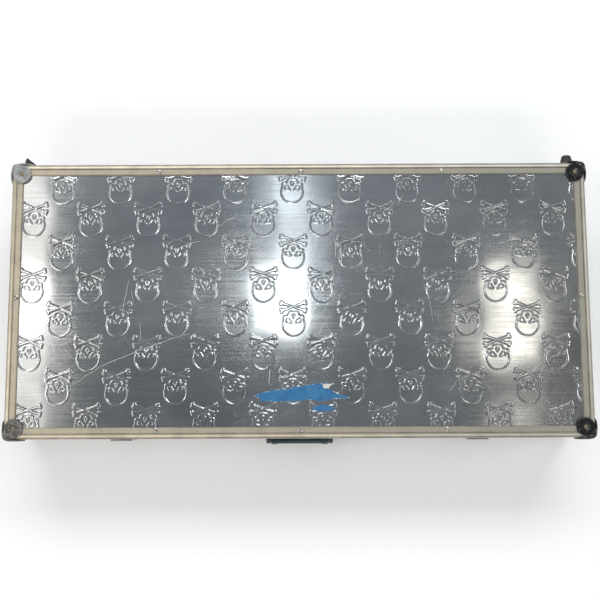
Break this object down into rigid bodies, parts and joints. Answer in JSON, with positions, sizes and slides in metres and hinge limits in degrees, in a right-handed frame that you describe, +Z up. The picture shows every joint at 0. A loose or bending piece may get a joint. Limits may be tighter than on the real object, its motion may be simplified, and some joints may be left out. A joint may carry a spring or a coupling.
{
  "type": "aluminium carrying case",
  "caption": "Flat hard carrying case with an embossed aluminium lid, metal edge rails, riveted corner protectors, side handle, draw latches and rear hinges.",
  "frame": {"origin": "centre of the bounding box's underside, on the surface the case lies on", "axes": "+X along the case's length, +Y towards the hinges, +Z up out of the lid"},
  "size_m": [0.704, 0.36, 0.124],
  "materials": {
    "sheet": "bright satin, scratched",
    "board": "raw plywood",
    "wall": "satin sheet bonded to board",
    "rail": "satin anodised",
    "protector": "glossy black, rubbed on two corners",
    "rubber": "worn",
    "foam": "open-cell foam",
    "grip": "moulded, dark teal blue",
    "bracket": "moulded, near black",
    "hardware": "plated steel"
  },
  "bodies": {
    "base": {"base_board": "board", "base_corner_back_left": "protector", "base_corner_back_right": "protector", "base_corner_front_left": "protector", "base_corner_front_right": "protector", "base_edge_back": "rail", "base_edge_front": "rail", "base_edge_left": "rail", "base_edge_right": "rail", "base_foam": "foam", "base_foot_left": "rubber", "base_foot_right": "rubber", "base_rim": "rail", "base_sheet": "sheet", "base_wall_back": "wall", "base_wall_front": "wall", "base_wall_left": "wall", "base_wall_right": "wall", "handle_bracket_left": "bracket", "handle_bracket_right": "bracket", "handle_pin_left": "hardware", "handle_pin_right": "hardware", "hinge_left_base_leaf": "hardware", "hinge_left_pin": "hardware", "hinge_right_base_leaf": "hardware", "hinge_right_pin": "hardware", "latch_left_dish": "hardware", "latch_left_pin": "hardware", "latch_right_dish": "hardware", "latch_right_pin": "hardware"},
    "lid": {"hinge_left_lid_leaf": "hardware", "hinge_right_lid_leaf": "hardware", "latch_left_keeper": "hardware", "latch_right_keeper": "hardware", "lid_board": "board", "lid_corner_back_left": "protector", "lid_corner_back_right": "protector", "lid_corner_front_left": "protector", "lid_corner_front_right": "protector", "lid_edge_back": "rail", "lid_edge_front": "rail", "lid_edge_left": "rail", "lid_edge_right": "rail", "lid_foam": "foam", "lid_foot_left": "rubber", "lid_foot_right": "rubber", "lid_rim": "rail", "lid_sheet": "sheet", "lid_wall_back": "wall", "lid_wall_front": "wall", "lid_wall_left": "wall", "lid_wall_right": "wall"},
    "latch_left_lever": {"latch_left_lever": "hardware"},
    "latch_left_claw": {"latch_left_claw": "hardware"},
    "latch_left_lock": {"latch_left_lock": "hardware"},
    "latch_right_lever": {"latch_right_lever": "hardware"},
    "latch_right_claw": {"latch_right_claw": "hardware"},
    "latch_right_lock": {"latch_right_lock": "hardware"},
    "handle": {"handle_grip": "grip"}
  },
  "joints": [
    {"name": "lid_hinge", "type": "hinge", "parent": "base", "child": "lid", "pos_m": [0, 0.1676, 0.062], "axis": [-1, 0, 0], "range_deg": [0, 95]},
    {"name": "handle_swing", "type": "hinge", "parent": "base", "child": "handle", "pos_m": [0, -0.173, 0.04], "axis": [-1, 0, 0], "range_deg": [0, 95]},
    {"name": "latch_left_lever_turn", "type": "hinge", "parent": "base", "child": "latch_left_lever", "pos_m": [-0.22, -0.1668, 0.042], "axis": [-1, 0, 0], "range_deg": [-8, 75]},
    {"name": "latch_left_claw_turn", "type": "hinge", "parent": "latch_left_lever", "child": "latch_left_claw", "pos_m": [-0.22, -0.16664, 0.0375], "axis": [-1, 0, 0], "range_deg": [-96, 10.5]},
    {"name": "latch_left_lock_turn", "type": "hinge", "parent": "latch_left_lever", "child": "latch_left_lock", "pos_m": [-0.22, -0.16973, 0.02979], "axis": [0, -0.9903, 0.1392], "range_deg": [0, 90]},
    {"name": "latch_right_lever_turn", "type": "hinge", "parent": "base", "child": "latch_right_lever", "pos_m": [0.22, -0.1668, 0.042], "axis": [-1, 0, 0], "range_deg": [-8, 75]},
    {"name": "latch_right_claw_turn", "type": "hinge", "parent": "latch_right_lever", "child": "latch_right_claw", "pos_m": [0.22, -0.16664, 0.0375], "axis": [-1, 0, 0], "range_deg": [-96, 10.5]},
    {"name": "latch_right_lock_turn", "type": "hinge", "parent": "latch_right_lever", "child": "latch_right_lock", "pos_m": [0.22, -0.16973, 0.02979], "axis": [0, -0.9903, 0.1392], "range_deg": [0, 90]}
  ],
  "couplings": [
    {"joint": "latch_left_claw_turn", "follows": "latch_left_lever_turn", "ratio": -1.275},
    {"joint": "latch_right_claw_turn", "follows": "latch_right_lever_turn", "ratio": -1.275}
  ]
}
